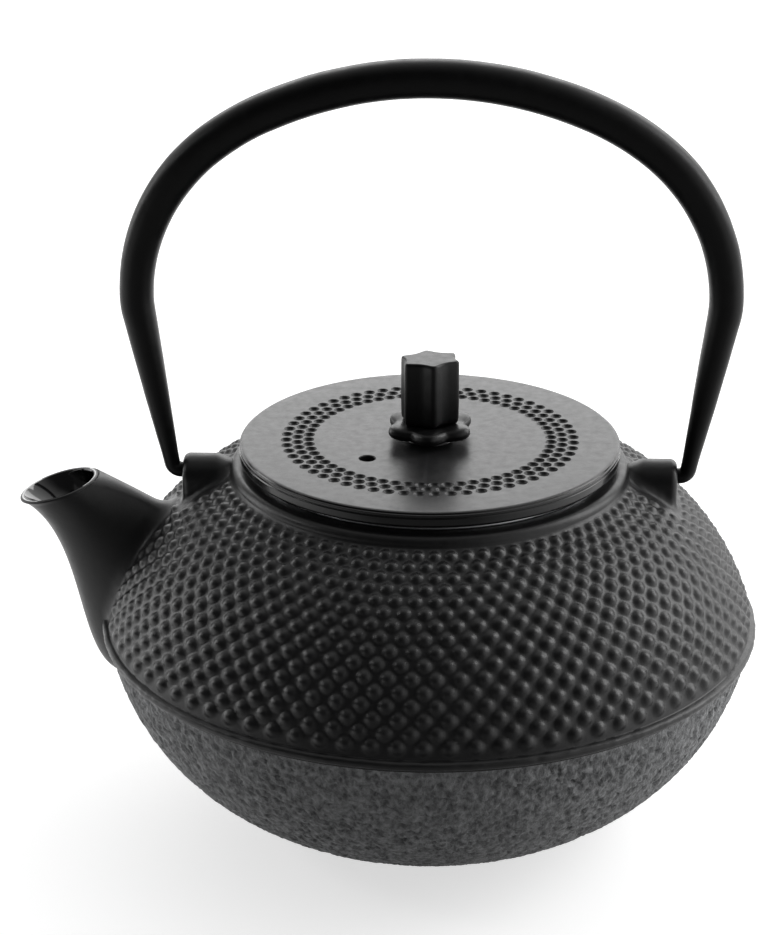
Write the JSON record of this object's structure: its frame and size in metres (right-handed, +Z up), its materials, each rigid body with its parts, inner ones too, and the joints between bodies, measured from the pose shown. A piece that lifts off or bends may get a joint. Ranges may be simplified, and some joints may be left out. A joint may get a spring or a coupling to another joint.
{
  "type": "teapot",
  "caption": "Squat cast-iron teapot with a hobnailed shoulder, short open spout, swinging bail handle, flat lid with a star knob and a lift-out steel infuser.",
  "frame": {"origin": "middle of the flat base, on the pot's axis", "axes": "+Z up along the pot's axis, spout towards -X, bail handle swings about the X axis"},
  "size_m": [0.1852, 0.165, 0.1932],
  "materials": {
    "pot_iron": "satin black cast iron, rough below the seam",
    "handle_iron": "smooth satin black",
    "lid_iron": "smooth satin black",
    "knob_iron": "smooth satin black",
    "steel": "stainless, fine brushed"
  },
  "bodies": {
    "teapot": {"pot_bowl": "pot_iron", "pot_shoulder": "pot_iron", "pot_spout": "pot_iron"},
    "bail": {"handle": "handle_iron"},
    "strainer": {"infuser_rim": "steel", "infuser_wall": "steel", "infuser_hoop": "steel", "infuser_base": "steel"},
    "cover": {"lid": "lid_iron", "knob": "knob_iron", "knob_seat": "knob_iron", "knob_washer": "steel"}
  },
  "joints": [
    {"name": "handle_swing", "type": "hinge", "parent": "teapot", "child": "bail", "pos_m": [0, 0, 0.0885], "axis": [1, 0, 0], "range_deg": [-112, 112]},
    {"name": "infuser_lift", "type": "slide", "parent": "teapot", "child": "strainer", "axis": [0, 0, 1], "range_m": [0, 0.06]},
    {"name": "lid_lift", "type": "slide", "parent": "strainer", "child": "cover", "axis": [0, 0, 1], "range_m": [0, 0.06]}
  ]
}
